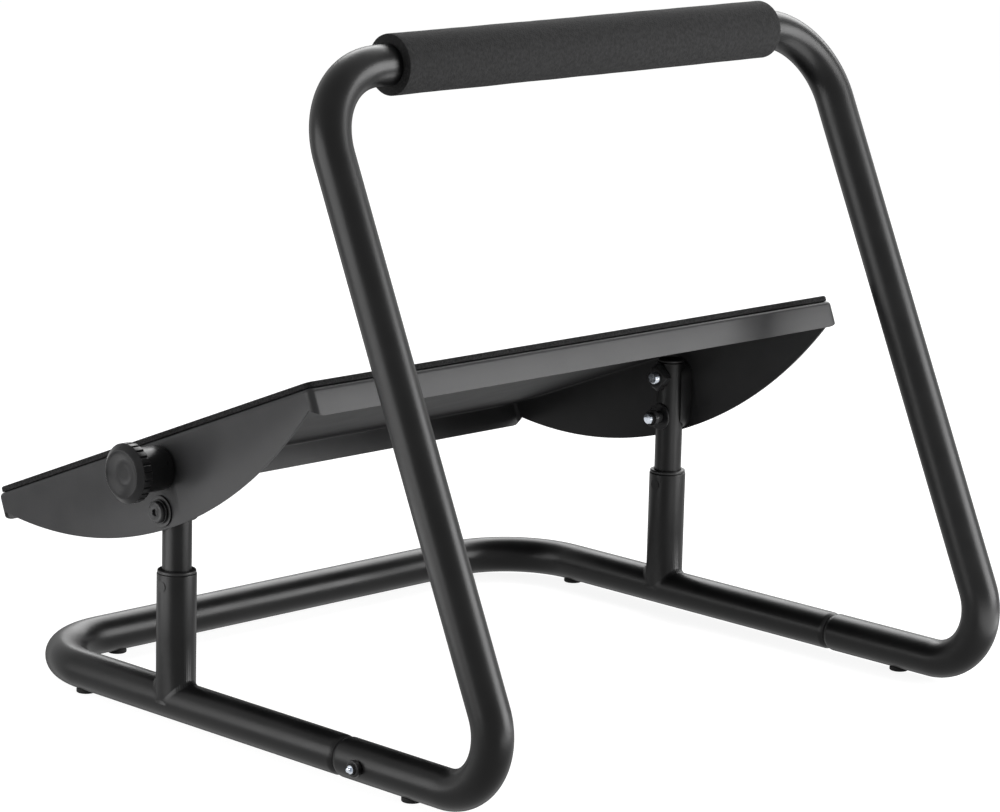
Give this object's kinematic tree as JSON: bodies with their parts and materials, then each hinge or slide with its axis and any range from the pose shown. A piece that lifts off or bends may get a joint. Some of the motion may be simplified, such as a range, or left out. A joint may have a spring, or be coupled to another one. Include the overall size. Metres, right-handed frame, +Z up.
{
  "type": "tilting footrest",
  "caption": "Footrest: a tilting, height-adjustable folded tray with a rubber mat on a bent-tube stand, with a foam-sleeved carrying bar and a hand knob that clamps the tilt.",
  "frame": {"origin": "on the floor, under the middle of the whole width, knob and bolt heads included, and midway along the stand's length; the plane between the side rails is 12.6 mm from it towards -X", "axes": "+X to the sitter's right, the knob's side; +Y away from the sitter, to the carrying bar; +Z up"},
  "size_m": [0.5098, 0.456, 0.438],
  "materials": {
    "powder_coat": "satin black powder coat on steel tube",
    "powder_coat_sheet": "satin black powder coat on folded steel sheet",
    "black_foam": "matt closed-cell foam",
    "black_rubber": "matt rubber",
    "black_plastic": "moulded, slightly glossy",
    "black_steel": "black oxide",
    "zinc_steel": "bright zinc plating"
  },
  "bodies": {
    "base": {"base_tube": "powder_coat", "foam_grip": "black_foam", "foot_front_left": "black_rubber", "foot_front_right": "black_rubber", "foot_middle_left": "black_rubber", "foot_middle_right": "black_rubber", "foot_rear_left": "black_rubber", "foot_rear_right": "black_rubber", "handle_tube": "powder_coat", "joint_nut_left": "black_steel", "joint_nut_right": "black_steel", "joint_screw_left": "zinc_steel", "joint_screw_right": "zinc_steel", "joint_spigot_left": "black_steel", "joint_spigot_right": "black_steel", "outer_post_left": "powder_coat", "outer_post_right": "powder_coat", "post_bushing_left": "black_plastic", "post_bushing_right": "black_plastic", "set_screw_left": "black_steel", "set_screw_right": "black_steel"},
    "lift": {"clamp_nut_left": "black_steel", "clamp_nut_right": "black_steel", "guide_bolt_left": "zinc_steel", "guide_washer_left": "black_steel", "inner_post_left": "powder_coat", "inner_post_right": "powder_coat", "pivot_bolt_left": "black_steel", "pivot_bolt_right": "black_steel", "pivot_nut_left": "black_steel", "pivot_nut_right": "black_steel", "pivot_washer_inner_left": "black_steel", "pivot_washer_inner_right": "black_steel", "pivot_washer_outer_left": "black_steel", "pivot_washer_outer_right": "black_steel", "post_plug_left": "black_plastic", "post_plug_right": "black_plastic", "saddle_left": "black_plastic", "saddle_right": "black_plastic"},
    "tray": {"tray_pan": "powder_coat_sheet", "tray_mat": "black_rubber", "pivot_bush_left": "black_plastic", "pivot_bush_right": "black_plastic"},
    "knob": {"clamp_knob": "black_plastic", "knob_stud": "zinc_steel", "knob_washer": "black_steel"}
  },
  "joints": [
    {"name": "lift_slide", "type": "slide", "parent": "base", "child": "lift", "axis": [0, 0, 1], "range_m": [-0.018, 0.024]},
    {"name": "tray_tilt", "type": "hinge", "parent": "lift", "child": "tray", "pos_m": [-0.0126, -0.0655, 0.1367], "axis": [1, 0, 0], "range_deg": [-21.8, 8.2]},
    {"name": "knob_turn", "type": "hinge", "parent": "lift", "child": "knob", "pos_m": [0.2224, -0.0655, 0.1646], "axis": [1, 0, 0], "range_deg": [0, 360]}
  ]
}
